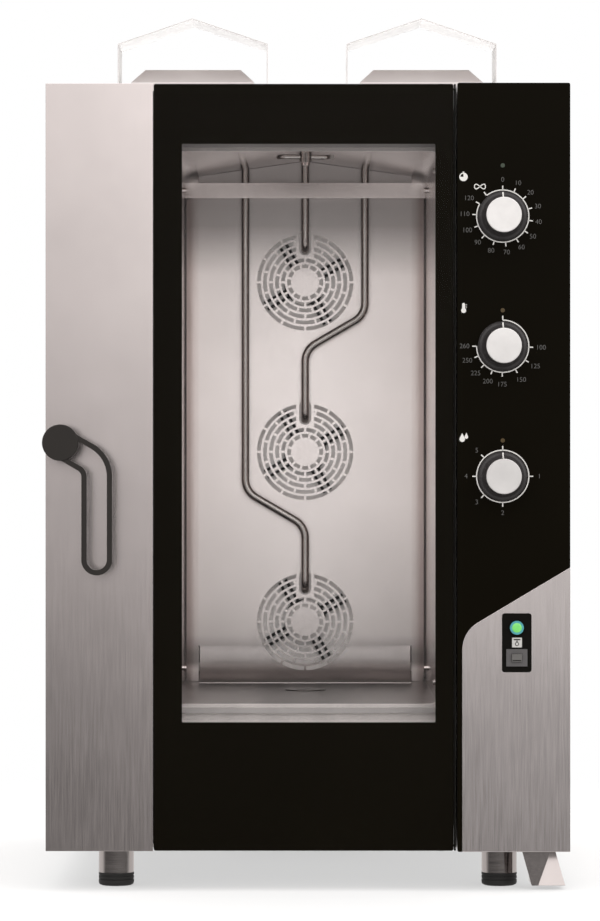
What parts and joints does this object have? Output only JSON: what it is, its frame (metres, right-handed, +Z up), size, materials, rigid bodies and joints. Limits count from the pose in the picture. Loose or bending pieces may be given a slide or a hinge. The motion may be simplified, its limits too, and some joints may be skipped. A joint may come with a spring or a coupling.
{
  "type": "combi steamer oven",
  "caption": "Upright gas combi steamer oven with a side-hinged glass door, turn handle, dial controls, spray-pipe steam and draught-hooded flues.",
  "frame": {"origin": "centre of the overall footprint, on the floor that the feet stand on", "axes": "+X to the right seen from the front, +Y to the rear (the door faces -Y), +Z up"},
  "size_m": [0.73, 0.948, 1.2845],
  "materials": {
    "zinc_sheet": "plain galvanised sheet",
    "brushed_steel": "brushed stainless steel",
    "chamber_steel": "bright stainless steel",
    "polished_steel": "polished stainless steel",
    "heat_steel": "heat-tinted stainless steel",
    "spray_pipe": "satin stainless tube",
    "mineral_wool": "fibrous",
    "motor_paint": "satin black paint",
    "brass": "machined brass",
    "seal_rubber": "matt silicone",
    "black_glass": "glass with a black ceramic print",
    "clear_glass": "clear tempered glass",
    "board_plastic": "circuit board and moulded housings",
    "black_plastic": "fine-grained black plastic",
    "grey_plastic": "fine-grained grey plastic",
    "green_plastic": "translucent green",
    "lamp_lens": "unlit amber and green lens",
    "cap_metal": "satin aluminium disc",
    "foot_rubber": "ribbed rubber"
  },
  "bodies": {
    "cabinet": {"base_pan": "zinc_sheet", "left_side_panel": "brushed_steel", "right_side_panel": "brushed_steel", "rear_panel": "zinc_sheet", "top_panel": "brushed_steel", "front_frame": "brushed_steel", "cavity_wrap": "chamber_steel", "cavity_floor": "chamber_steel", "cavity_rear_wall": "chamber_steel", "cavity_insulation": "mineral_wool", "air_baffle": "chamber_steel", "pipe_retainer_rail": "chamber_steel", "spray_pipe_upper": "spray_pipe", "spray_pipe_middle": "spray_pipe", "spray_pipe_lower": "spray_pipe", "fan_motors": "motor_paint", "heat_exchangers": "heat_steel", "gas_train": "brass", "flue_bases": "brushed_steel", "draught_hoods": "brushed_steel", "foot_sleeves": "polished_steel", "door_gasket": "seal_rubber", "control_box": "zinc_sheet", "control_glass": "black_glass", "control_steel_cover": "brushed_steel", "control_electronics": "board_plastic", "mains_gland": "black_plastic", "water_valves": "brass", "drain_pipe": "polished_steel", "drain_strainer": "polished_steel", "hinge_brackets": "polished_steel", "latch_keeper": "polished_steel", "drain_chute": "polished_steel", "panel_screws": "polished_steel", "switch_plate": "black_plastic", "indicator_lenses": "lamp_lens"},
    "door": {"door_frame": "brushed_steel", "door_outer_glass": "black_glass", "door_inner_glass": "clear_glass", "door_steel_panel": "brushed_steel", "hinge_blocks": "zinc_sheet"},
    "handle": {"latch_cam": "polished_steel", "handle_hub": "black_plastic", "handle_loop": "black_plastic"},
    "fan_upper": {"fan_wheel_upper": "chamber_steel"},
    "fan_middle": {"fan_wheel_middle": "chamber_steel"},
    "fan_lower": {"fan_wheel_lower": "chamber_steel"},
    "power_switch": {"power_button": "green_plastic"},
    "reset_switch": {"reset_button": "grey_plastic"},
    "timer_dial": {"timer_knob": "black_plastic", "timer_knob_cap": "cap_metal"},
    "temperature_dial": {"temperature_knob": "black_plastic", "temperature_knob_cap": "cap_metal"},
    "humidity_dial": {"humidity_knob": "black_plastic", "humidity_knob_cap": "cap_metal"},
    "foot_fl": {"foot_front_left": "foot_rubber"},
    "foot_fr": {"foot_front_right": "foot_rubber"},
    "foot_rl": {"foot_rear_left": "foot_rubber"},
    "foot_rr": {"foot_rear_right": "foot_rubber"},
    "washer": {"wash_arm": "spray_pipe"}
  },
  "joints": [
    {"name": "door_hinge", "type": "hinge", "parent": "cabinet", "child": "door", "pos_m": [0.186, -0.383, 0.591], "axis": [0, 0, 1], "range_deg": [0, 115]},
    {"name": "handle_turn", "type": "hinge", "parent": "door", "child": "handle", "pos_m": [-0.34, -0.436, 0.625], "axis": [0, -1, 0], "range_deg": [0, 90]},
    {"name": "fan_upper_spin", "type": "hinge", "parent": "cabinet", "child": "fan_upper", "pos_m": [-0.003, 0.284, 0.877], "axis": [0, 1, 0], "continuous": true},
    {"name": "fan_middle_spin", "type": "hinge", "parent": "cabinet", "child": "fan_middle", "pos_m": [-0.003, 0.284, 0.614], "axis": [0, 1, 0], "continuous": true},
    {"name": "fan_lower_spin", "type": "hinge", "parent": "cabinet", "child": "fan_lower", "pos_m": [-0.003, 0.284, 0.3505], "axis": [0, 1, 0], "continuous": true},
    {"name": "power_press", "type": "slide", "parent": "cabinet", "child": "power_switch", "axis": [0, 1, 0], "range_m": [0, 0.003], "stiffness_N_per_m": 400, "springref_m": -0.002},
    {"name": "reset_press", "type": "slide", "parent": "cabinet", "child": "reset_switch", "axis": [0, 1, 0], "range_m": [0, 0.0025], "stiffness_N_per_m": 400, "springref_m": -0.002},
    {"name": "timer_turn", "type": "hinge", "parent": "cabinet", "child": "timer_dial", "pos_m": [0.271, -0.414, 0.9405], "axis": [0, 1, 0], "range_deg": [-38, 297]},
    {"name": "temperature_turn", "type": "hinge", "parent": "cabinet", "child": "temperature_dial", "pos_m": [0.271, -0.414, 0.7595], "axis": [0, 1, 0], "range_deg": [0, 270]},
    {"name": "humidity_turn", "type": "hinge", "parent": "cabinet", "child": "humidity_dial", "pos_m": [0.271, -0.414, 0.5785], "axis": [0, 1, 0], "range_deg": [0, 315]},
    {"name": "foot_fl_level", "type": "slide", "parent": "cabinet", "child": "foot_fl", "axis": [0, 0, -1], "range_m": [0, 0.02]},
    {"name": "foot_fr_level", "type": "slide", "parent": "cabinet", "child": "foot_fr", "axis": [0, 0, -1], "range_m": [0, 0.02]},
    {"name": "foot_rl_level", "type": "slide", "parent": "cabinet", "child": "foot_rl", "axis": [0, 0, -1], "range_m": [0, 0.02]},
    {"name": "foot_rr_level", "type": "slide", "parent": "cabinet", "child": "foot_rr", "axis": [0, 0, -1], "range_m": [0, 0.02]},
    {"name": "wash_arm_spin", "type": "hinge", "parent": "cabinet", "child": "washer", "pos_m": [-0.003, -0.066, 1.048], "axis": [0, 0, 1], "continuous": true}
  ]
}
